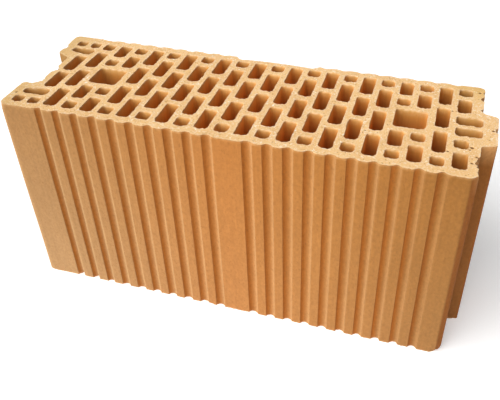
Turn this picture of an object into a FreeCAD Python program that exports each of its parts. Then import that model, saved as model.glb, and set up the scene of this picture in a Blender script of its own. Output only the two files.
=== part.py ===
import FreeCAD, Part
import math
import os

# Hollow clay wall block, fired as one piece. One section is drawn lying flat and raised to the block's
# height: a ribbed outline with a tongue at one end and a groove at the other, and a field of upright cells.
# X runs along the block towards the tongue, Y from the front face to the back face, Z up through the cells.
# The origin is on the bed face, at the middle of the overall length and width.

# Body of the block, in millimetres, without the tongue
body_length = 500.0
body_width = 170.0
block_height = 249.0

# Tongue at the +X end
tongue_length = 15.4
tongue_root_width = 62.0
tongue_tip_width = 53.0
tongue_tip_radius = 3.0

# Groove at the -X end, which takes the tongue of the next block
groove_end_clearance = 2.2
groove_side_clearance = 2.5
groove_flare = 9.5
groove_floor_radius = 3.0
groove_lip_radius = 2.0

# Outside corners of the body
front_left_radius = 6.0
front_right_chamfer = 6.0
chamfer_edge_radius = 2.0
back_corner_radius = 4.5

# Walls round the cells
face_shell = 12.0
tongue_end_shell = 11.0
groove_end_shell = 8.5
groove_floor_wall = 7.8

# Field of narrow cells, in staggered columns
column_count = 22
cell_width = 14.2
half_cell_length = 14.0
row_web = 8.0
cell_corner_cut = 1.7

# Two square holes to lift the block by, each cut through a pair of columns
grip_first_column = 2
grip_length = 33.0
grip_width = 32.0
grip_radius = 3.0

# Pair of cells that reach into the tongue
tongue_cell_width = 14.0
tongue_cell_web = 6.0
tongue_tip_shell = 14.0

# Cells at the corners beside the groove
corner_cell_width = 12.0
corner_cell_web = 5.0
corner_slot_width = 13.0
end_web = 6.0
corner_slot_radius = 4.0

# Keying ribs of the front and back faces, left standing between rounded grooves, as many as leave a plain
# flat at the tongue's end
rib_pitch = 21.0
rib_groove_width = 11.0
front_groove_depth = 3.5
back_groove_depth = 2.4
rib_field_middle = 1.2
least_end_flat = 22.0

# Wide recess in the middle of the back face, with a crowned floor, in place of this many grooves to each side
recess_reach = 2
recess_width = 98.0
recess_middle = 4.6
recess_middle_depth = 3.8
recess_end_depth = 6.2
recess_wall_run = 4.0

# Derived sizes
overall_length = body_length + tongue_length
left_end = -overall_length / 2
right_end = left_end + body_length
tongue_tip = right_end + tongue_length
front = -body_width / 2
back = body_width / 2
groove_depth = tongue_length + groove_end_clearance
groove_floor_width = tongue_tip_width + 2 * groove_side_clearance
groove_mouth_width = groove_floor_width + 2 * groove_flare
first_column_start = left_end + groove_depth + groove_floor_wall
last_column_end = right_end - tongue_end_shell
column_pitch = (last_column_end - first_column_start - cell_width) / (column_count - 1)
full_cell_length = (body_width - 2 * face_shell - half_cell_length - 3 * row_web) / 3
last_groove_room = right_end - least_end_flat - rib_groove_width / 2 - rib_field_middle
rib_grooves_each_side = int(last_groove_room / rib_pitch)


def bounded_face(corners):
    """A flat face from its (x, y, radius) corners, in order.

    A radius of 0 leaves a corner sharp. A radius of None marks a point that isn't a corner: one arc runs
    through it, from the corner before it to the corner after it.
    """
    count = len(corners)
    points = [FreeCAD.Vector(x, y, 0) for x, y, _ in corners]
    starts = {}
    ends = {}
    edges = []
    for i, (_, _, radius) in enumerate(corners):
        if radius is None:
            continue
        here = points[i]
        starts[i] = ends[i] = here
        if radius > 0:
            to_last = (points[i - 1] - here).normalize()
            to_next = (points[(i + 1) % count] - here).normalize()
            half_angle = to_last.getAngle(to_next) / 2
            tangent = radius / math.tan(half_angle)
            inward = (to_last + to_next).normalize()
            middle = here + inward * (radius / math.sin(half_angle) - radius)
            starts[i] = here + to_last * tangent
            ends[i] = here + to_next * tangent
            edges.append(Part.Arc(starts[i], middle, ends[i]).toShape())
    for i in starts:
        after = (i + 1) % count
        if corners[after][2] is None:
            edges.append(Part.Arc(ends[i], points[after], starts[(after + 1) % count]).toShape())
        else:
            edges.append(Part.LineSegment(ends[i], starts[after]).toShape())
    return Part.Face(Part.Wire(Part.sortEdges(edges)[0]))


def wide_hole(x_start, x_end, y_start, y_end, radius):
    """The opening of a wide hole, with rounded corners."""
    return bounded_face([
        (x_start, y_start, radius),
        (x_end, y_start, radius),
        (x_end, y_end, radius),
        (x_start, y_end, radius),
    ])


def cell(x_start, x_end, y_start, y_end):
    """The opening of one narrow cell, with its corners cut at 45 degrees."""
    cut = cell_corner_cut
    return bounded_face([
        (x_start + cut, y_start, 0),
        (x_end - cut, y_start, 0),
        (x_end, y_start + cut, 0),
        (x_end, y_end - cut, 0),
        (x_end - cut, y_end, 0),
        (x_start + cut, y_end, 0),
        (x_start, y_end - cut, 0),
        (x_start, y_start + cut, 0),
    ])


def column_start(column):
    return first_column_start + column * column_pitch


def rib_groove(number, face, depth, step):
    """Corners of one rounded groove of the rib field, met in the direction of step along X.

    A depth above 0 cuts towards +Y, and one below 0 towards -Y.
    """
    middle = rib_field_middle + number * rib_pitch
    half_width = rib_groove_width / 2
    return [
        (middle - step * half_width, face, 0),
        (middle, face + depth, None),
        (middle + step * half_width, face, 0),
    ]


def back_recess():
    """Corners of the wide recess in the back face, from right to left; one flat arc crowns its floor."""
    mouth = recess_width / 2
    floor = mouth - recess_wall_run
    return [
        (recess_middle + mouth, back, 0),
        (recess_middle + floor, back - recess_end_depth, 0),
        (recess_middle, back - recess_middle_depth, None),
        (recess_middle - floor, back - recess_end_depth, 0),
        (recess_middle - mouth, back, 0),
    ]


def front_ribs():
    """Front face from left to right, with a plain band in the middle."""
    corners = []
    for number in range(-rib_grooves_each_side, rib_grooves_each_side + 1):
        if number != 0:
            corners += rib_groove(number, front, front_groove_depth, 1)
    return corners


def back_ribs():
    """Back face from right to left, with the recess in the middle."""
    corners = []
    for number in range(rib_grooves_each_side, -rib_grooves_each_side - 1, -1):
        if number == 0:
            corners += back_recess()
        elif abs(number) > recess_reach:
            corners += rib_groove(number, back, -back_groove_depth, -1)
    return corners


def outline():
    """The outside of the block, anticlockwise from its front left corner."""
    tongue_and_right_end = [
        (right_end - front_right_chamfer, front, chamfer_edge_radius),
        (right_end, front + front_right_chamfer, chamfer_edge_radius),
        (right_end, -tongue_root_width / 2, 0),
        (tongue_tip, -tongue_tip_width / 2, tongue_tip_radius),
        (tongue_tip, tongue_tip_width / 2, tongue_tip_radius),
        (right_end, tongue_root_width / 2, 0),
        (right_end, back, back_corner_radius),
    ]
    left_end_and_groove = [
        (left_end, back, back_corner_radius),
        (left_end, groove_mouth_width / 2, groove_lip_radius),
        (left_end + groove_depth, groove_floor_width / 2, groove_floor_radius),
        (left_end + groove_depth, -groove_floor_width / 2, groove_floor_radius),
        (left_end, -groove_mouth_width / 2, groove_lip_radius),
    ]
    corners = [(left_end, front, front_left_radius)]
    corners += front_ribs()
    corners += tongue_and_right_end
    corners += back_ribs()
    corners += left_end_and_groove
    return bounded_face(corners)


def stack(x_start, x_end, y_start, lengths, web):
    """Cells one behind the other in Y, a web apart, from y_start towards the back."""
    cells = []
    for length in lengths:
        cells.append(cell(x_start, x_end, y_start, y_start + length))
        y_start += length + web
    return cells


def staggered_column(column):
    """Three full cells and a half cell, which is at the back of odd columns and at the front of even ones."""
    lengths = [full_cell_length] * 3 + [half_cell_length]
    if column % 2 == 0:
        lengths.reverse()
    x = column_start(column)
    return stack(x, x + cell_width, front + face_shell, lengths, row_web)


def split_column(column, middle_width):
    """A short cell and a half cell in front of a wide middle hole, and another two behind it."""
    short_cell = (body_width - middle_width) / 2 - face_shell - half_cell_length - 2 * row_web
    lengths = [short_cell, half_cell_length]
    if column % 2 == 0:
        lengths.reverse()
    x = column_start(column)
    before = stack(x, x + cell_width, front + face_shell, lengths, row_web)
    behind = stack(x, x + cell_width, middle_width / 2 + row_web, lengths, row_web)
    return before + behind


def grip(first):
    """The lifting hole over one pair of columns, with the cells that are left of them."""
    middle = (column_start(first) + column_start(first + 1) + cell_width) / 2
    reach = grip_length / 2
    hole = wide_hole(middle - reach, middle + reach, -grip_width / 2, grip_width / 2, grip_radius)
    return [hole] + split_column(first, grip_width) + split_column(first + 1, grip_width)


def tongue_end():
    """The last column, whose two middle cells reach into the tongue."""
    column = column_count - 1
    pair_width = 2 * tongue_cell_width + tongue_cell_web
    reach = tongue_tip - tongue_tip_shell
    pair = stack(column_start(column), reach, -pair_width / 2, [tongue_cell_width] * 2, tongue_cell_web)
    return pair + split_column(column, pair_width)


def groove_end():
    """Two cells behind the groove's floor, and in each corner a cross slot and a pair of small cells."""
    x_start = left_end + groove_end_shell
    x_end = first_column_start + cell_width
    small_length = (x_end - x_start - end_web) / 2
    corner_start = front + face_shell
    corner_end = corner_start + corner_cell_width
    slot_start = corner_end + corner_cell_web
    slot_end = slot_start + corner_slot_width
    deep_start = slot_end + end_web
    deep_end = -end_web / 2
    in_front = [
        cell(x_start, x_start + small_length, corner_start, corner_end),
        cell(x_end - small_length, x_end, corner_start, corner_end),
        wide_hole(x_start, x_end, slot_start, slot_end, corner_slot_radius),
        cell(first_column_start, x_end, deep_start, deep_end),
    ]
    mid_width = FreeCAD.Vector(0, 0, 0)
    across = FreeCAD.Vector(0, 1, 0)
    return in_front + [hole.mirror(mid_width, across) for hole in in_front]


def all_cells():
    grip_last_column = column_count - 2 - grip_first_column
    cells = groove_end() + grip(grip_first_column) + grip(grip_last_column) + tongue_end()
    split = {grip_first_column, grip_first_column + 1, grip_last_column, grip_last_column + 1}
    for column in range(1, column_count - 1):
        if column not in split:
            cells += staggered_column(column)
    return cells


def clay_block():
    """The section with every cell cut out, raised to the block's height."""
    rim = outline()
    holes = [hole.OuterWire for hole in all_cells()]
    section = Part.Face([rim.OuterWire] + holes, "Part::FaceMakerBullseye")
    return section.extrude(FreeCAD.Vector(0, 0, block_height))


os.makedirs("parts", exist_ok=True)
clay_block().exportStep("parts/clay_block.step")
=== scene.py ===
import math

import bpy
from mathutils import Matrix, Vector, kdtree, noise
from mathutils.geometry import delaunay_2d_cdt


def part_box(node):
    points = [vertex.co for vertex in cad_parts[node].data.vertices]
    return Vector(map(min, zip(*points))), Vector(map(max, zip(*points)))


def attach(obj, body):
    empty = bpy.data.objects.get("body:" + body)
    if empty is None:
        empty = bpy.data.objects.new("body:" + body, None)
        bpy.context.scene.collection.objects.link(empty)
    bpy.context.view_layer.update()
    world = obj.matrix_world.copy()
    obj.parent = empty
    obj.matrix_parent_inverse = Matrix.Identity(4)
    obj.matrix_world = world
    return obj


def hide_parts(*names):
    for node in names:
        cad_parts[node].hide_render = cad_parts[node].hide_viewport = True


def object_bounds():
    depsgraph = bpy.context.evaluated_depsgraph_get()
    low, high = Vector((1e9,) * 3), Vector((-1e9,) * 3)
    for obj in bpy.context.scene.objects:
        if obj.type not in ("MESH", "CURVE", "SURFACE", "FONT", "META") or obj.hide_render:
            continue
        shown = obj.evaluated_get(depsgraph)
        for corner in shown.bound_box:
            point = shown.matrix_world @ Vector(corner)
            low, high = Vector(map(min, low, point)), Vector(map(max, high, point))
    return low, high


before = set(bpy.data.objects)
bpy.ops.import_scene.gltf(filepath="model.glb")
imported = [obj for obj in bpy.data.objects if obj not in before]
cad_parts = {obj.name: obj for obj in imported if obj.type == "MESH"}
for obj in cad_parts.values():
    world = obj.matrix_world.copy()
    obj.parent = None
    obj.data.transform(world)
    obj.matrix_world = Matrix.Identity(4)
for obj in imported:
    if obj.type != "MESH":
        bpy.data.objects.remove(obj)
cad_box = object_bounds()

# A hollow clay block, as it comes from the kiln and the grinder. Its section is read from the CAD solid,
# and the surface is built anew: cells with soft corners, crumbled rims, chips and pits.
# Lengths are in metres, in the frame of the CAD part, unless a comment says mm.

MM = 0.001
MM_IN_METRE = 1000
NODE = "clay_block"
HALF_LENGTH = cad_box[1].x
HALF_WIDTH = cad_box[1].y
HEIGHT = cad_box[1].z

# Numbers of the block's materials: the ground faces, the outer faces and the walls of the cells
GROUND, OUTSIDE, INSIDE = range(3)

# Reading the section from the top face of the CAD mesh
FACES_UP = 0.99
SAME_LEVEL = 0.01 * MM
SAME_POINT_DECIMALS = 6
CORNER_TURN = math.radians(30)
LENGTH_SLACK = 1e-9

# Points along the loops of the section, and how many times they are smoothed
CELL_SPACING = 1.2 * MM
OUTLINE_SPACING = 1.15 * MM
CELL_SMOOTHING = 1
OUTLINE_RIM_SMOOTHING = 4
FRONT_CORNER_SMOOTHING = 8
FRONT_CORNER_REACH = 4.5 * MM
# How many times the painted light on the back walls of the cells is smoothed round each cell
BACK_WALL_LIGHT_SMOOTHING = 16

# Corners of the outline that are worn rounder than the die left them: x, y, reach of the wear, in mm.
# All the wear shows at the top rim, none a little below it, and a part of it again at the bed face.
WORN_CORNERS = [(-258, -85, 20), (242, 85, 7)]
WORN_CORNER_SMOOTHING = 25
RIM_WEAR_DEPTH = 10 * MM
BED_WEAR = 0.7

# Slow wander of the section, and waves of the walls, which are longer than they are wide
SECTION_DRIFT = 0.4 * MM
DRIFT_SIZE = 90 * MM
WAVE_HEIGHT = 0.3 * MM
WAVE_WIDTH = 30 * MM
WAVE_LENGTH = 120 * MM

# Crumbled rims: how far down they reach, what every cell's rim has lost, the sizes of the crumbs and bites
# along them, and how far apart two walls are in the noise
RIM_DEPTH = 2.5 * MM
CELL_RIM_LOSS = 0.25 * MM
FINE_CRUMB_SIZE = 2.0 * MM
COARSE_CRUMB_SIZE = 4.5 * MM
BITE_SIZE = 8 * MM
SEED_STEP = 0.01

# How deep the crumbs are in mm, the share of them that is left where a rim crumbles least, and the bites:
# the level of their noise that they start at, and how they grow above it, in mm
MEAN_CRUMB = 0.1
FINE_CRUMB = 1.5
COARSE_CRUMB = 0.7
LEAST_CRUMBLE = 0.3
BITE_START = 0.32
BITE_GROWTH = 2.6

# Places in a noise, far enough apart for values that have nothing to do with each other
DRIFT_ACROSS_PLACE = Vector((7, 3, 5))
BITE_PLACE = Vector((3, 9, 1))
JITTER_ACROSS_PLACE = Vector((5, 1, 0))

# Depths of the rings of points on the walls, below the top face, in mm
CELL_DEPTHS = [0, 0.7, 2.0, 8, 60, 246, 249]
OUTLINE_DEPTHS = [0, 0.5, 1.3, 3, 8, 20, 40, 65, 90, 115, 140, 165, 190, 212, 230, 241, 246, 248, 249]

# Interior points of the top face: a jittered field
TOP_SPACING = 3.0 * MM
TOP_EDGE_GAP = 1.0 * MM
TOP_JITTER = 0.35
JITTER_STEP_X = 0.73
JITTER_STEP_Y = 0.91
JITTER_LEVEL = 4.2

# Chips broken off the rim of the top face, in mm: x, y, half length along the rim, depth inward, and
# depth downward
TOP_CHIPS = [
    (242, -59, 11, 3.8, 9.0),
    (242, -71, 7, 1.4, 5.0),
    (242, 60, 5, 3.4, 8.0),
    (242, 73, 3, 1.8, 4.0),
    (243, 36, 4, 2.2, 5.0),
    (258, 1, 5, 3.2, 6.0),
    (-240, 0, 7, 4.5, 6.0),
    (-240, -27, 6, 2.5, 4.0),
    (-246, -33, 8, 3.6, 6.0),
    (-258, 54, 7, 3.0, 6.0),
    (-217, 85, 5, 2.0, 3.0),
]

# Chips broken off the rim of the bed face below, in the same terms, with the depth upward last
FLOOR_CHIPS = [
    (239, -82, 9, 3.2, 7.0),
    (-207, -82, 4, 3.0, 4.0),
    (-186, -82, 4, 2.4, 3.0),
]

# How uneven the chips are, and the size of that unevenness
CHIP_ROUGHNESS = 0.8
CHIP_GRAIN = 2.5 * MM

# Pits in the ground top face: x, y, radius, depth, in mm
TOP_PITS = [
    (234, -35, 2.2, 2.0),
    (232, -39, 1.5, 1.4),
    (239, -50, 1.5, 1.4),
    (235, -61, 1.7, 1.6),
    (212, -47, 1.5, 1.4),
    (211, 28, 1.4, 1.2),
    (237, 73, 1.9, 1.6),
    (253, 0, 1.8, 1.6),
    (-252, -59, 1.6, 1.4),
    (130, -32, 1.1, 1.0),
    (119, -75, 1.1, 1.0),
]

# Rings of points in a pit, as shares of its radius with their numbers of points, and the depth from which
# its painted shade is darkest
PIT_RINGS = [(0, 1), (0.35, 6), (0.7, 9), (1.0, 12)]
PIT_DARKEST = 0.8 * MM

# Cutting the top and bed faces into triangles: the kind of result that is asked for, which is what lies
# inside the loops, and the distance within which two points are one
INSIDE_LOOPS = 1
SAME_PLACE = 1e-7

# Angle from which an edge of the block is sharp
SHARP_EDGE = math.radians(38)

# Colours of the clay: of the ground faces and broken rims, of the outer faces and of the cells
LIGHT_GRAIN = (0.97, 0.77, 0.55)
WHITE_GRAIN = (1.0, 0.92, 0.77)
BROWN_SPECK = (0.44, 0.20, 0.065)
BROKEN_CLAY = (0.91, 0.69, 0.45)
YELLOW_GROUND = (0.66, 0.39, 0.085)
DULL_GROUND = (0.52, 0.33, 0.10)
# Painted shade in the pits of the top face
PIT_SHADE = (0.17, 0.075, 0.022)
PALE_SKIN = (0.55, 0.355, 0.185)
TONGUE_TOP_SKIN = (0.56, 0.28, 0.10)
# Rubbed skin with a painted highlight, on the sides of the keying grooves that face the light
RUBBED_SKIN_AND_HIGHLIGHT = (0.66, 0.42, 0.20)
DARK_SPECK = (0.22, 0.09, 0.025)
BROKEN_SKIN = (0.62, 0.38, 0.17)
# Painted shade in the cells towards the block's ends
END_CELL_SHADE = (0.25, 0.125, 0.030)
YELLOW_CELL = (0.36, 0.19, 0.035)

# Depths below the top face over which the painted light and shade in the cells change, and over which the
# tongue is paler
CELL_COLOUR_DEPTH = 60 * MM
TONGUE_TOP_DEPTH = 24 * MM

# Shader values that the materials share
NOISE_ROUGHNESS = 0.55
SPECULAR_LEVEL = 0.12

# Stage
WHITE = (1.0, 1.0, 1.0, 1)
FLOOR_SIZE = 14.0
FLOOR_GLOW = 0.3
SURROUND_STRENGTH = 0.08

# Camera that took the photograph
IMAGE_WIDTH = 500
IMAGE_HEIGHT = 400
FOCAL_PIXELS = 647.59
CENTRE_PIXEL = (278.70, 174.00)
CAMERA_PLACE = (0.1999, -0.5744, 0.6059)
CAMERA_RIGHT = (0.96054, 0.27804, -0.00735)
CAMERA_UP = (-0.16278, 0.58340, 0.79571)
SENSOR = 36.0


def top_loops(mesh, level):
    """Closed loops of points round a solid's top face, outline first, with the clay on their left."""
    sides = {}
    for face in mesh.polygons:
        if face.normal.z > FACES_UP and abs(face.center.z - level) < SAME_LEVEL:
            places = [mesh.vertices[i].co.xy for i in face.vertices]
            points = [tuple(round(c, SAME_POINT_DECIMALS) for c in place) for place in places]
            for a, b in zip(points, points[1:] + points[:1]):
                sides[a, b] = True
    follows = {a: b for a, b in sides if (b, a) not in sides}
    loops = []
    while follows:
        start, point = follows.popitem()
        loop = [start]
        while point != start:
            loop.append(point)
            point = follows.pop(point)
        loops.append([Vector(p) for p in loop])
    loops.sort(key=len, reverse=True)
    return loops


def turn_at(loop, i):
    """The angle by which a loop turns at one of its points."""
    before = loop[i] - loop[i - 1]
    after = loop[(i + 1) % len(loop)] - loop[i]
    return abs(before.angle_signed(after))


def resample(loop, spacing):
    """The same loop with even spacing between its corners, which stay."""
    count = len(loop)
    corners = [i for i in range(count) if turn_at(loop, i) > CORNER_TURN] or [0]
    points = []
    for start, end in zip(corners, corners[1:] + [corners[0] + count]):
        run = [loop[i % count] for i in range(start, end + 1)]
        points += even_points(run, spacing)
    return points


def even_points(run, spacing):
    """Points at even steps along a run of points, without its last one."""
    lengths = [(b - a).length for a, b in zip(run, run[1:])]
    total = sum(lengths)
    steps = max(1, round(total / spacing))
    points = []
    side = 0
    passed = 0.0
    for k in range(steps):
        target = total * k / steps
        while passed + lengths[side] < target - LENGTH_SLACK:
            passed += lengths[side]
            side += 1
        share = (target - passed) / lengths[side]
        points.append(run[side].lerp(run[side + 1], share))
    return points


def smoothed(values, rounds):
    """Points or numbers round a loop, smoothed a number of times."""
    for _ in range(rounds):
        values = [
            values[i] * 0.5 + (values[i - 1] + values[(i + 1) % len(values)]) * 0.25
            for i in range(len(values))
        ]
    return values


def smoothed_in_part(loop, rounds, shares):
    """A loop smoothed a number of times, each point by its own share."""
    for _ in range(rounds):
        loop = [a.lerp(b, share) for a, b, share in zip(loop, smoothed(loop, 1), shares)]
    return loop


def cell_loop(loop):
    """The rim of a cell, with soft corners that are rounder at the front."""
    loop = smoothed(resample(loop, CELL_SPACING), CELL_SMOOTHING)
    front = min(point.y for point in loop)
    shares = [max(0.0, 1 - (point.y - front) / FRONT_CORNER_REACH) for point in loop]
    return smoothed_in_part(loop, FRONT_CORNER_SMOOTHING, shares)


def away_from(x, y, spot_x, spot_y, reach):
    """Distance of a place from a spot, as a share of the spot's reach; the spot is in mm."""
    return math.hypot(x - spot_x * MM, y - spot_y * MM) / (reach * MM)


def worn_outline(loop):
    """The outline with its worn corners made rounder."""
    shares = [worn_share(point) for point in loop]
    return smoothed_in_part(loop, WORN_CORNER_SMOOTHING, shares)


def worn_share(point):
    """1 at a worn corner, and 0 where the wear ends."""
    return max(max(0.0, 1 - away_from(point.x, point.y, *corner)) for corner in WORN_CORNERS)


def clay_sides(loop):
    """Unit vectors from each point of a loop into the clay."""
    sides = []
    for i in range(len(loop)):
        along = (loop[(i + 1) % len(loop)] - loop[i - 1]).normalized()
        sides.append(Vector((-along.y, along.x)))
    return sides


def eased(value, start, end):
    """0 at a start, 1 at an end, and smooth between them."""
    share = min(1.0, max(0.0, (value - start) / (end - start)))
    return share * share * (3 - 2 * share)


def drift(point, side, material):
    """How far the section stands off the CAD section at a point, as wet clay leaves the die."""
    where = Vector((point.x, point.y, 0)) / DRIFT_SIZE
    wander = Vector((noise.noise(where), noise.noise(where + DRIFT_ACROSS_PLACE))) * SECTION_DRIFT
    if material == INSIDE:
        wander += cell_drift(point) + slot_drift(point)
    else:
        wander.x += rib_drift(point, side) + end_drift(point)
    return wander


def cell_drift(point):
    """How far the cells stand off their even pattern: by a wave, a skew and shifts near the block's ends.

    Places are in metres, and the amounts are in mm until the last line.
    """
    x, y = point
    at_groove = eased(x, -0.20, -0.23)
    near_groove = 1 - eased(x, -0.13, -0.10)
    wave = max(0.05, 0.35 + 0.9 * math.cos((x - 0.044) / 0.083))
    skew = y / 0.1
    along = wave - skew
    along += (1.6 * eased(y, 0.03, 0.06) + 0.3) * at_groove
    along -= 0.9 * eased(x, 0.20, 0.215)
    across = 1.6 * eased(x, -0.10, -0.02) * eased(y, -0.03, 0.04)
    across += 0.8 * eased(x, 0.20, 0.22) * eased(y, -0.01, 0.06)
    across -= 1.2 * near_groove * (1 - eased(y, 0.0, 0.03))
    across -= 1.5 * at_groove * eased(-y, 0.055, 0.062)
    return Vector((along, across)) * MM


def slot_drift(point):
    """The corner slots narrow and end sooner at the groove, as they follow its flanks."""
    out = abs(point.y)
    in_slot = eased(out, 38.5 * MM, 40 * MM) * (1 - eased(out, 58 * MM, 60 * MM))
    towards_groove = in_slot * eased(point.x, -0.225, -0.249)
    inner_side = 1 - eased(out, 43 * MM, 53 * MM)
    shorter = 2.0
    narrower = math.copysign(3.4 * inner_side, point.y)
    return Vector((shorter, narrower)) * towards_groove * MM


def rib_drift(point, side):
    """The keying grooves of the front face are narrower near the block's ends, by their right edges."""
    on_front = (point.y < -HALF_WIDTH + 4 * MM) * (1 - eased(abs(point.x), 0.215, 0.220))
    lost = 1.2 * eased(abs(point.x), 0.13, 0.155) + 1.0 * eased(point.x, -0.15, -0.20)
    right_edge = eased(side.x, -0.3, 0.8)
    return -lost * MM * on_front * right_edge


def end_drift(point):
    """The end face with the groove stands out behind the groove, and most at the back corner."""
    behind_groove = eased(point.x, -0.235, -0.250) * eased(point.y, 0.025, 0.038)
    return -(0.8 + 0.9 * eased(point.y, 0.062, 0.075)) * MM * behind_groove


def crumble(point, side, even, seed):
    """How far a rim has crumbled at a point: a ragged line with a few larger bites.

    It is the same all round where it is even, and elsewhere it is most at the front of a cell.
    """
    where = Vector((point.x, point.y, seed * SEED_STEP))
    fine = FINE_CRUMB * noise.noise(where / FINE_CRUMB_SIZE)
    coarse = COARSE_CRUMB * noise.noise(where / COARSE_CRUMB_SIZE)
    ragged = MEAN_CRUMB + fine + coarse
    at_front = 0.0 if even else max(0.0, -side.y)
    share = LEAST_CRUMBLE + (1 - LEAST_CRUMBLE) * at_front
    bite = max(0.0, noise.noise(where / BITE_SIZE + BITE_PLACE) - BITE_START) * BITE_GROWTH
    return (ragged * share + bite) * MM


def chip_inset(point, depth, chips):
    """How far the chips in a list bite into the clay at a point, at a depth in from their face."""
    inset = 0.0
    for x, y, reach, inward, down in chips:
        away = away_from(point.x, point.y, x, y, reach)
        low = depth / (down * MM)
        if away < 1 and low < 1:
            rough = 1 + CHIP_ROUGHNESS * noise.noise(Vector((point.x, point.y, depth)) / CHIP_GRAIN)
            inset = max(inset, inward * MM * (1 - away ** 2) * (1 - low) * rough)
    return inset


def wall_wave(point, depth):
    """Gentle unevenness of an extruded wall, drawn out along its height."""
    where = Vector((point.x / WAVE_WIDTH, point.y / WAVE_WIDTH, depth / WAVE_LENGTH))
    return WAVE_HEIGHT * noise.noise(where)


class Surface:
    """Points, faces and material numbers of the block as it grows, with marks for the materials."""

    def __init__(self):
        self.points = []
        self.marks = {"rim": [], "wear": [], "hollow": [], "back_wall_light": [], "pit": []}
        self.faces = []
        self.materials = []

    def add_point(self, x, y, z, **marks):
        """Add a point, whose other marks are 0, and return its number."""
        self.points.append((x, y, z))
        for name, values in self.marks.items():
            values.append(marks.get(name, 0.0))
        return len(self.points) - 1

    def add_face(self, corners, material):
        self.faces.append(corners)
        self.materials.append(material)

    def add_bands(self, rings, material):
        """Add the faces between each ring of points and the ring below it."""
        for upper, lower in zip(rings, rings[1:]):
            for i in range(len(upper)):
                j = (i + 1) % len(upper)
                self.add_face((lower[i], lower[j], upper[j], upper[i]), material)


def rim_fall(depth, height):
    """1 at the top and bottom rims of a wall, and 0 from the depth of the rims on."""
    near = min(depth, height - depth)
    return max(0.0, 1 - near / RIM_DEPTH)


def skin_mark(point, side):
    """Marks of a point of the outline.

    It carries a paler rub and a painted highlight on the side of a keying groove that faces the light, and
    painted shade on the other side, on the faces turned from the light and in the end groove.
    """
    below = HALF_WIDTH - abs(point.y)
    on_ribs = 1 - eased(below, 3.4 * MM, 3.9 * MM)
    off_faces = eased(below, 0.0, 1.2 * MM)
    in_end_groove = eased(below, 42 * MM, 48 * MM) * (point.x < 0)
    # hollow: painted shade on the faces and groove sides turned from the light, and in the end groove
    hollow = max(off_faces * eased(side.x, 0.25, -0.7), in_end_groove)
    # wear: a paler rub and a painted highlight, on the side of each keying groove that faces the light
    wear = 0.7 * eased(side.x, 0.1, 0.6) + 0.3 * eased(side.x, 0.65, 0.85)
    return {"wear": wear * on_ribs, "hollow": hollow}


def wall_marks(loop, sides, material):
    """Marks of the points of a wall.

    In a cell, painted light lies on the back wall, which faces the light, and thins out at the sides.
    """
    if material == OUTSIDE:
        return [skin_mark(point, side) for point, side in zip(loop, sides)]
    # Painted light: the share of a cell wall that faces the light, which is the back wall
    back_wall_light = smoothed([eased(side.y, 0.2, 0.8) for side in sides], BACK_WALL_LIGHT_SMOOTHING)
    return [{"back_wall_light": share} for share in back_wall_light]


def corner_wear(depth, height):
    """How much of the wear of the outline's corners shows at a depth."""
    at_rim = max(0.0, 1 - depth / RIM_WEAR_DEPTH)
    at_bed = BED_WEAR * eased(depth, height / 3, height)
    return max(at_rim, at_bed)


def wall_inset(point, side, depth, height, material, seed):
    """How far a wall stands back into the clay at a point: its waves, crumbled rims and chips."""
    inset = wall_wave(point, depth)
    fall = rim_fall(depth, height)
    if fall > 0:
        at_floor = depth > height / 2
        even = at_floor or material == OUTSIDE
        lost = CELL_RIM_LOSS * (1 + abs(side.y)) if material == INSIDE else 0.0
        inset += (lost + crumble(point, side, even, seed + at_floor)) * fall ** 2
    if material == OUTSIDE:
        chipped = chip_inset(point, depth, TOP_CHIPS)
        chipped += chip_inset(point, height - depth, FLOOR_CHIPS)
        inset += chipped
    return inset


def build_wall(surface, loop, plain_loop, depths, height, material, seed):
    """A wall as rings of points from the top face to the bed face. Returns its two rims.

    Each ring lies between the loop and the plain one, which is the same loop without wear.
    """
    sides = clay_sides(loop)
    marks = wall_marks(loop, sides, material)
    rim_loop = smoothed(loop, OUTLINE_RIM_SMOOTHING) if material == OUTSIDE else loop
    rings = []
    for depth_mm in depths:
        depth = depth_mm * MM
        fall = rim_fall(depth, height)
        softness = 0.0 if depth > height / 2 else fall
        wear = corner_wear(depth, height)
        ring = []
        for plain, worn, rim, side, mark in zip(plain_loop, loop, rim_loop, sides, marks):
            point = plain.lerp(worn, wear).lerp(rim, softness)
            inset = wall_inset(point, side, depth, height, material, seed)
            place = point + drift(point, side, material) + side * inset
            ring.append(surface.add_point(place.x, place.y, height - depth, rim=fall, **mark))
        rings.append(ring)
    surface.add_bands(rings, material)
    return rings[0], rings[-1]


def pit_depth(x, y):
    """How deep the top face lies in a pit at a place, or 0."""
    depth = 0.0
    for pit_x, pit_y, radius, deep in TOP_PITS:
        away = away_from(x, y, pit_x, pit_y, radius)
        if away < 1:
            depth = max(depth, deep * MM * (1 - away ** 2))
    return depth


def field_points(low, high):
    """Points of a jittered field over a box, in columns that are set half a step off each other."""
    points = []
    for i in range(int((high.x - low.x) / TOP_SPACING)):
        for k in range(int((high.y - low.y) / TOP_SPACING)):
            where = Vector((i * JITTER_STEP_X, k * JITTER_STEP_Y, JITTER_LEVEL))
            jitter_x = TOP_JITTER * noise.noise(where)
            jitter_y = TOP_JITTER * noise.noise(where + JITTER_ACROSS_PLACE)
            x = low.x + (i + 0.5 + jitter_x) * TOP_SPACING
            y = low.y + (k + 0.5 * (i % 2) + jitter_y) * TOP_SPACING
            points.append((x, y))
    return points


def pit_points():
    """Rings of points in the pits, closer together than the field's."""
    points = []
    for x, y, radius, _ in TOP_PITS:
        for share, count in PIT_RINGS:
            reach = radius * MM * share
            for k in range(count):
                angle = math.tau * k / count + share
                points.append((x * MM + reach * math.cos(angle), y * MM + reach * math.sin(angle)))
    return points


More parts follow.
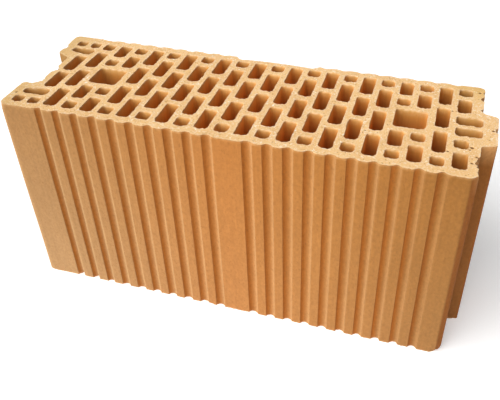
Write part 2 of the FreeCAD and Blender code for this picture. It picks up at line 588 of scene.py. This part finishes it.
def top_points(rim_points, low, high):
    """Interior points of the top face, all a little away from its rims."""
    tree = kdtree.KDTree(len(rim_points))
    for i, (x, y, _) in enumerate(rim_points):
        tree.insert((x, y, 0), i)
    tree.balance()
    points = []
    for x, y in field_points(low, high) + pit_points():
        _, _, gap = tree.find((x, y, 0))
        if gap > TOP_EDGE_GAP:
            points.append((x, y))
    return points


def build_cap(surface, rings, extra, level, facing_up):
    """The flat face inside the outline's ring and round the cells' rings, through some extra points."""
    ids = []
    loops = []
    for ring in rings:
        loop = list(range(len(ids), len(ids) + len(ring)))
        loops.append(loop[::-1] if loops else loop)
        ids += ring
    flat = [Vector(surface.points[i][:2]) for i in ids]
    for x, y in extra:
        ids.append(None)
        flat.append(Vector((x, y)))
    _, _, triangles, came_from, _, inside = delaunay_2d_cdt(flat, [], loops, INSIDE_LOOPS, SAME_PLACE)
    for triangle, owners in zip(triangles, inside):
        # The clay is inside loop 0, the outline, and inside no cell
        if list(owners) != [0]:
            continue
        corners = []
        for corner in triangle:
            k = came_from[corner][0]
            if ids[k] is None:
                x, y = flat[k]
                deep = pit_depth(x, y)
                # The pit mark is the share of painted shade at a point, which grows with the pit's depth
                ids[k] = surface.add_point(x, y, level - deep, pit=min(1.0, deep / PIT_DARKEST))
            corners.append(ids[k])
        if not facing_up:
            corners.reverse()
        surface.add_face(tuple(corners), GROUND)


def build_block(materials):
    """The whole block as one mesh object."""
    low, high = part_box(NODE)
    height = high.z - low.z
    outline, *cells = top_loops(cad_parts[NODE].data, high.z)
    surface = Surface()
    outline = resample(outline, OUTLINE_SPACING)
    rings = [build_wall(surface, worn_outline(outline), outline, OUTLINE_DEPTHS, height, OUTSIDE, 0)]
    for seed, loop in enumerate(cells):
        loop = cell_loop(loop)
        rings.append(build_wall(surface, loop, loop, CELL_DEPTHS, height, INSIDE, seed))
    tops, floors = zip(*rings)
    rim_points = [surface.points[i] for ring in tops for i in ring]
    build_cap(surface, tops, top_points(rim_points, low, high), high.z, True)
    build_cap(surface, floors, [], low.z, False)
    return block_object(surface, materials)


def block_object(surface, materials):
    """A surface as a mesh object, smooth between its sharp edges."""
    mesh = bpy.data.meshes.new("fired_block")
    mesh.from_pydata(surface.points, [], surface.faces)
    for material in materials:
        mesh.materials.append(material)
    mesh.polygons.foreach_set("material_index", surface.materials)
    for name, values in surface.marks.items():
        mesh.attributes.new(name, "FLOAT", "POINT").data.foreach_set("value", values)
    mesh.shade_smooth()
    mesh.set_sharp_from_angle(angle=SHARP_EDGE)
    mesh.update()
    block = bpy.data.objects.new("fired_block", mesh)
    bpy.context.scene.collection.objects.link(block)
    return block


class Nodes:
    """A material's node tree, with a short way to add a node and link it."""

    def __init__(self, name):
        self.material = bpy.data.materials.new(name)
        self.material.use_nodes = True
        self.tree = self.material.node_tree
        self.shader = self.tree.nodes["Principled BSDF"]
        self.place = self.tree.nodes.new("ShaderNodeTexCoord").outputs["Object"]

    def add(self, kind, **settings):
        node = self.tree.nodes.new(kind)
        for name, value in settings.items():
            setattr(node, name, value)
        return node

    def link(self, output, socket):
        self.tree.links.new(output, socket)

    def stretched(self, size):
        """Object coordinates counted in units of a size in mm along X, Y and Z."""
        mapping = self.add("ShaderNodeMapping")
        mapping.inputs["Scale"].default_value = [MM_IN_METRE / s for s in size]
        self.link(self.place, mapping.inputs["Vector"])
        return mapping.outputs["Vector"]

    def noise(self, size, detail=4.0):
        """A noise field whose features have a size in mm along X, Y and Z."""
        field = self.add("ShaderNodeTexNoise")
        field.inputs["Scale"].default_value = 1.0
        field.inputs["Detail"].default_value = detail
        field.inputs["Roughness"].default_value = NOISE_ROUGHNESS
        self.link(self.stretched(size), field.inputs["Vector"])
        return field.outputs["Fac"]

    def along(self, axis, start, end):
        """How far a point lies from one place to another along an axis, from 0 to 1."""
        split = self.add("ShaderNodeSeparateXYZ")
        self.link(self.place, split.inputs["Vector"])
        share = self.add("ShaderNodeMapRange")
        share.inputs["From Min"].default_value = start
        share.inputs["From Max"].default_value = end
        self.link(split.outputs[axis], share.inputs["Value"])
        return share.outputs["Result"]

    def mark(self, name):
        """One of the marks that the surface's points carry."""
        return self.add("ShaderNodeAttribute", attribute_name=name).outputs["Fac"]

    def product(self, first, second):
        product = self.add("ShaderNodeMath", operation="MULTIPLY")
        self.link(first, product.inputs[0])
        self.link(second, product.inputs[1])
        return product.outputs["Value"]

    def ramp(self, value, stops):
        """Colours or greys along a value, from (position, colour) stops."""
        ramp = self.add("ShaderNodeValToRGB")
        elements = ramp.color_ramp.elements
        while len(elements) < len(stops):
            elements.new(0.5)
        for element, (position, colour) in zip(elements, stops):
            element.position = position
            element.color = (*colour, 1)
        self.link(value, ramp.inputs["Fac"])
        return ramp.outputs["Color"]

    def mix(self, share, first, second):
        """One colour laid over another by a share; the second may be a plain colour."""
        mix = self.add("ShaderNodeMix", data_type="RGBA")
        self.link(share, mix.inputs["Factor"])
        self.link(first, mix.inputs["A"])
        if isinstance(second, tuple):
            mix.inputs["B"].default_value = (*second, 1)
        else:
            self.link(second, mix.inputs["B"])
        return mix.outputs["Result"]

    def shaded(self, colour, field, darkest, lightest):
        """A colour made darker and lighter along a field."""
        mix = self.add("ShaderNodeMix", data_type="RGBA", blend_type="MULTIPLY")
        mix.inputs["Factor"].default_value = 1.0
        self.link(colour, mix.inputs["A"])
        self.link(self.ramp(field, [(0.3, grey(darkest)), (0.7, grey(lightest))]), mix.inputs["B"])
        return mix.outputs["Result"]

    def bump(self, height, distance, strength, below=None):
        """Normals roughened by a height field, on top of the normals below where there are some."""
        bump = self.add("ShaderNodeBump")
        bump.inputs["Distance"].default_value = distance
        bump.inputs["Strength"].default_value = strength
        self.link(height, bump.inputs["Height"])
        if below is not None:
            self.link(below, bump.inputs["Normal"])
        return bump.outputs["Normal"]

    def finish(self, colour, roughness, normal):
        """Link the shader and return the material."""
        self.link(colour, self.shader.inputs["Base Color"])
        self.link(roughness, self.shader.inputs["Roughness"])
        self.link(normal, self.shader.inputs["Normal"])
        self.shader.inputs["Specular IOR Level"].default_value = SPECULAR_LEVEL
        return self.material


def grey(value):
    return (value, value, value)


def rim_patches(nodes, most):
    """Where broken clay shows along the rims, in patches, from 0 to a most."""
    patches = nodes.ramp(nodes.noise((4, 4, 4)), [(0.35, grey(0.2 * most)), (0.65, grey(most))])
    return nodes.product(nodes.mark("rim"), patches)


def back_corner(nodes):
    """How near a point is to the back corner by the tongue, where the clay is yellower, from 0 to 1."""
    return nodes.product(nodes.along("X", 0.19, 0.26), nodes.along("Y", 0.045, 0.085))


def ground_face():
    """Ground clay: pale sand with light grains, clusters of white ones, brown specks and pits."""
    nodes = Nodes("clay_ground_face")
    colour = nodes.ramp(nodes.noise((26, 26, 26)), [
        (0.30, (0.81, 0.488, 0.207)),
        (0.50, (0.866, 0.539, 0.238)),
        (0.72, (0.91, 0.590, 0.274)),
    ])
    grains = nodes.ramp(nodes.noise((1.4, 1.4, 1.4), 2.0), [(0.57, grey(0)), (0.66, grey(0.85))])
    colour = nodes.mix(grains, colour, LIGHT_GRAIN)
    white = nodes.ramp(nodes.noise((2.1, 2.1, 2.1), 1.0), [(0.62, grey(0)), (0.67, grey(0.9))])
    clusters = nodes.ramp(nodes.noise((15, 15, 15), 2.0), [(0.45, grey(0.1)), (0.65, grey(1))])
    colour = nodes.mix(nodes.product(white, clusters), colour, WHITE_GRAIN)
    specks = nodes.ramp(nodes.noise((2.1, 2.1, 2.1), 2.0), [(0.29, grey(0.85)), (0.37, grey(0))])
    colour = nodes.mix(specks, colour, BROWN_SPECK)
    colour = nodes.mix(rim_patches(nodes, 0.6), colour, BROKEN_CLAY)
    colour = nodes.mix(back_corner(nodes), colour, YELLOW_GROUND)
    groove_end = nodes.along("X", -0.22, -0.32)
    colour = nodes.mix(groove_end, colour, DULL_GROUND)
    # Painted shade in the pits, darker with their depth
    colour = nodes.mix(nodes.mark("pit"), colour, PIT_SHADE)
    roughness = nodes.ramp(nodes.noise((3, 3, 3)), [(0.3, grey(0.82)), (0.7, grey(0.98))])
    normal = nodes.bump(nodes.noise((1.6, 1.6, 1.6), 3.0), distance=0.7 * MM, strength=0.7)
    return nodes.finish(colour, roughness, normal)


def extruded_skin(nodes):
    """Colour of the outer faces.

    It is greyer and paler low down at the groove end, browner at the tongue, and paler at its top. Painted
    shade darkens the hollows and the faces turned from the light, and a paler rub with a painted highlight
    lies on the keying grooves' sides that face the light.
    """
    along = nodes.along("X", -HALF_LENGTH, HALF_LENGTH)
    colour = nodes.ramp(along, [
        (0.05, (0.325, 0.162, 0.0555)),
        (0.25, (0.361, 0.163, 0.0480)),
        (0.50, (0.412, 0.160, 0.0375)),
        (0.70, (0.362, 0.146, 0.0325)),
        (0.95, (0.272, 0.114, 0.0245)),
    ])
    low_down = nodes.along("Z", HEIGHT, 0.0)
    groove_end = nodes.ramp(along, [(0.05, grey(0.34)), (0.45, grey(0.13))])
    colour = nodes.mix(nodes.product(low_down, groove_end), colour, PALE_SKIN)
    # Painted shade: a darker, redder colour in the hollows and on the faces turned from the light; the
    # tongue end has its own stops
    hollow_shade_colour = nodes.ramp(along, [
        (0.04, (0.294, 0.150, 0.0425)),
        (0.08, (0.360, 0.123, 0.0215)),
        (0.85, (0.420, 0.133, 0.0195)),
        (0.96, (0.284, 0.094, 0.0175)),
        (0.98, (0.327, 0.106, 0.0205)),
    ])
    colour = nodes.mix(nodes.mark("hollow"), colour, hollow_shade_colour)
    near_top = nodes.along("Z", HEIGHT - TONGUE_TOP_DEPTH, HEIGHT)
    tongue_top = nodes.product(nodes.along("X", 0.238, 0.246), near_top)
    colour = nodes.mix(tongue_top, colour, TONGUE_TOP_SKIN)
    # Paler rub and painted highlight on the light-facing sides of the keying grooves, stronger towards the
    # groove end
    most_rubbed_and_highlit = nodes.ramp(along, [(0.10, grey(0.54)), (0.80, grey(0.24)), (0.92, grey(0.10))])
    rubbed_and_highlit = nodes.product(nodes.mark("wear"), most_rubbed_and_highlit)
    return nodes.mix(rubbed_and_highlit, colour, RUBBED_SKIN_AND_HIGHLIGHT)


def extruded_face():
    """Outer faces as they left the die: tan skin, drawn out in faint upright streaks."""
    nodes = Nodes("clay_extruded_face")
    colour = nodes.shaded(extruded_skin(nodes), nodes.noise((60, 60, 90)), 0.93, 1.0)
    colour = nodes.shaded(colour, nodes.noise((3, 3, 90), 5.0), 0.92, 1.0)
    colour = nodes.shaded(colour, nodes.noise((3, 3, 4), 3.0), 0.86, 1.04)
    specks = nodes.ramp(nodes.noise((1.8, 1.8, 2.6), 2.0), [(0.30, grey(0.5)), (0.40, grey(0))])
    colour = nodes.mix(specks, colour, DARK_SPECK)
    colour = nodes.mix(rim_patches(nodes, 0.5), colour, BROKEN_SKIN)
    roughness = nodes.ramp(nodes.noise((5, 5, 20)), [(0.3, grey(0.72)), (0.7, grey(0.9))])
    drag = nodes.bump(nodes.noise((1.4, 1.4, 40), 4.0), distance=0.5 * MM, strength=0.4)
    normal = nodes.bump(nodes.noise((2, 2, 2), 3.0), distance=0.4 * MM, strength=0.4, below=drag)
    return nodes.finish(colour, roughness, normal)


def cell_wall():
    """Walls of the cells: red and smooth, with painted shade towards the block's ends.

    Painted golden light lies on the back walls near the top and fades with depth; deeper down the walls
    are redder, as painted bounce light.
    """
    nodes = Nodes("clay_cell_wall")
    depth = nodes.along("Z", HEIGHT, HEIGHT - CELL_COLOUR_DEPTH)
    # Side walls, turned from the light: redder and brighter deeper down, as painted bounce light
    side_wall_bounce_colour = nodes.ramp(depth, [
        (0.00, (0.65, 0.32, 0.074)),
        (0.06, (0.79, 0.312, 0.063)),
        (1.00, (0.89, 0.315, 0.062)),
    ])
    # Back walls, facing the light: painted golden light near the top, painted shade below it, and painted
    # red bounce light deep down
    back_wall_lit_colour = nodes.ramp(depth, [
        (0.00, (0.62, 0.330, 0.088)),
        (0.05, (0.61, 0.295, 0.070)),
        (0.15, (0.61, 0.258, 0.055)),
        (0.37, (0.64, 0.232, 0.047)),
        (0.65, (0.60, 0.200, 0.040)),
        (1.00, (0.75, 0.260, 0.050)),
    ])
    # Painted shade towards the block's ends, where less light reaches into the cells
    side_wall_bounce_colour = nodes.mix(nodes.along("X", 0.0, -0.8), side_wall_bounce_colour, END_CELL_SHADE)
    side_wall_bounce_colour = nodes.mix(nodes.along("X", 0.19, 0.30), side_wall_bounce_colour, END_CELL_SHADE)
    back_wall_lit_colour = nodes.mix(nodes.along("X", 0.0, 1.1), back_wall_lit_colour, END_CELL_SHADE)
    back_wall_lit_colour = nodes.mix(nodes.along("X", -0.10, -0.60), back_wall_lit_colour, END_CELL_SHADE)
    # Painted light on the back walls, laid over the side walls' colour
    colour = nodes.mix(nodes.mark("back_wall_light"), side_wall_bounce_colour, back_wall_lit_colour)
    colour = nodes.mix(back_corner(nodes), colour, YELLOW_CELL)
    colour = nodes.shaded(colour, nodes.noise((2.5, 2.5, 60), 4.0), 0.88, 1.0)
    colour = nodes.mix(rim_patches(nodes, 0.6), colour, BROKEN_CLAY)
    roughness = nodes.ramp(nodes.noise((5, 5, 20)), [(0.3, grey(0.75)), (0.7, grey(0.92))])
    normal = nodes.bump(nodes.noise((1.6, 1.6, 12), 4.0), distance=0.5 * MM, strength=0.4)
    return nodes.finish(colour, roughness, normal)


def floor_paint():
    """Pale studio floor, faintly uneven, lit from below as a light table is."""
    nodes = Nodes("studio_floor")
    nodes.shader.inputs["Emission Color"].default_value = WHITE
    nodes.shader.inputs["Emission Strength"].default_value = FLOOR_GLOW
    colour = nodes.ramp(nodes.noise((400, 400, 400)), [(0.3, grey(0.87)), (0.7, grey(0.90))])
    roughness = nodes.ramp(nodes.noise((60, 60, 60)), [(0.3, grey(0.85)), (0.7, grey(0.95))])
    normal = nodes.bump(nodes.noise((3, 3, 3)), distance=0.2 * MM, strength=0.1)
    return nodes.finish(colour, roughness, normal)


def build_floor():
    """The floor, which belongs to the stage and not to the part."""
    bpy.ops.mesh.primitive_plane_add(size=FLOOR_SIZE)
    floor = bpy.context.object
    floor.name = "studio_floor"
    floor.data.materials.append(floor_paint())


def soft_sun(name, azimuth, elevation, spread, energy):
    """A distant light as wide as a spread, with its angles in degrees.

    It shines from +X at azimuth 0 and from +Y at azimuth 90.
    """
    data = bpy.data.lights.new(name, "SUN")
    data.angle = math.radians(spread)
    data.energy = energy
    light = bpy.data.objects.new(name, data)
    level = math.cos(math.radians(elevation))
    turn = math.radians(azimuth)
    up = math.sin(math.radians(elevation))
    towards = Vector((level * math.cos(turn), level * math.sin(turn), up))
    light.rotation_euler = towards.to_track_quat("Z", "Y").to_euler()
    bpy.context.scene.collection.objects.link(light)


def build_lights():
    """A wide low window in front on the left, a weak fill in front on the right and dim surroundings."""
    world = bpy.data.worlds.new("studio")
    world.use_nodes = True
    surround = world.node_tree.nodes["Background"]
    surround.inputs["Color"].default_value = WHITE
    surround.inputs["Strength"].default_value = SURROUND_STRENGTH
    bpy.context.scene.world = world
    soft_sun("window_light", azimuth=225, elevation=28, spread=76, energy=5.4)
    soft_sun("fill_light", azimuth=320, elevation=40, spread=60, energy=0.75)


def build_camera():
    """The camera of the photograph, whose centre lies off the middle of the frame."""
    data = bpy.data.cameras.new("photo_camera")
    data.sensor_width = SENSOR
    data.lens = FOCAL_PIXELS * SENSOR / IMAGE_WIDTH
    data.shift_x = (IMAGE_WIDTH / 2 - CENTRE_PIXEL[0]) / IMAGE_WIDTH
    data.shift_y = (CENTRE_PIXEL[1] - IMAGE_HEIGHT / 2) / IMAGE_WIDTH
    camera = bpy.data.objects.new("photo_camera", data)
    right = Vector(CAMERA_RIGHT)
    up = Vector(CAMERA_UP)
    turn = Matrix((right, up, right.cross(up))).transposed()
    camera.matrix_world = Matrix.Translation(CAMERA_PLACE) @ turn.to_4x4()
    bpy.context.scene.collection.objects.link(camera)
    bpy.context.scene.camera = camera


bpy.context.scene.view_settings.view_transform = "Standard"
build_floor()
build_lights()
build_camera()
block = build_block([ground_face(), extruded_face(), cell_wall()])
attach(block, "root")
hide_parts(NODE)
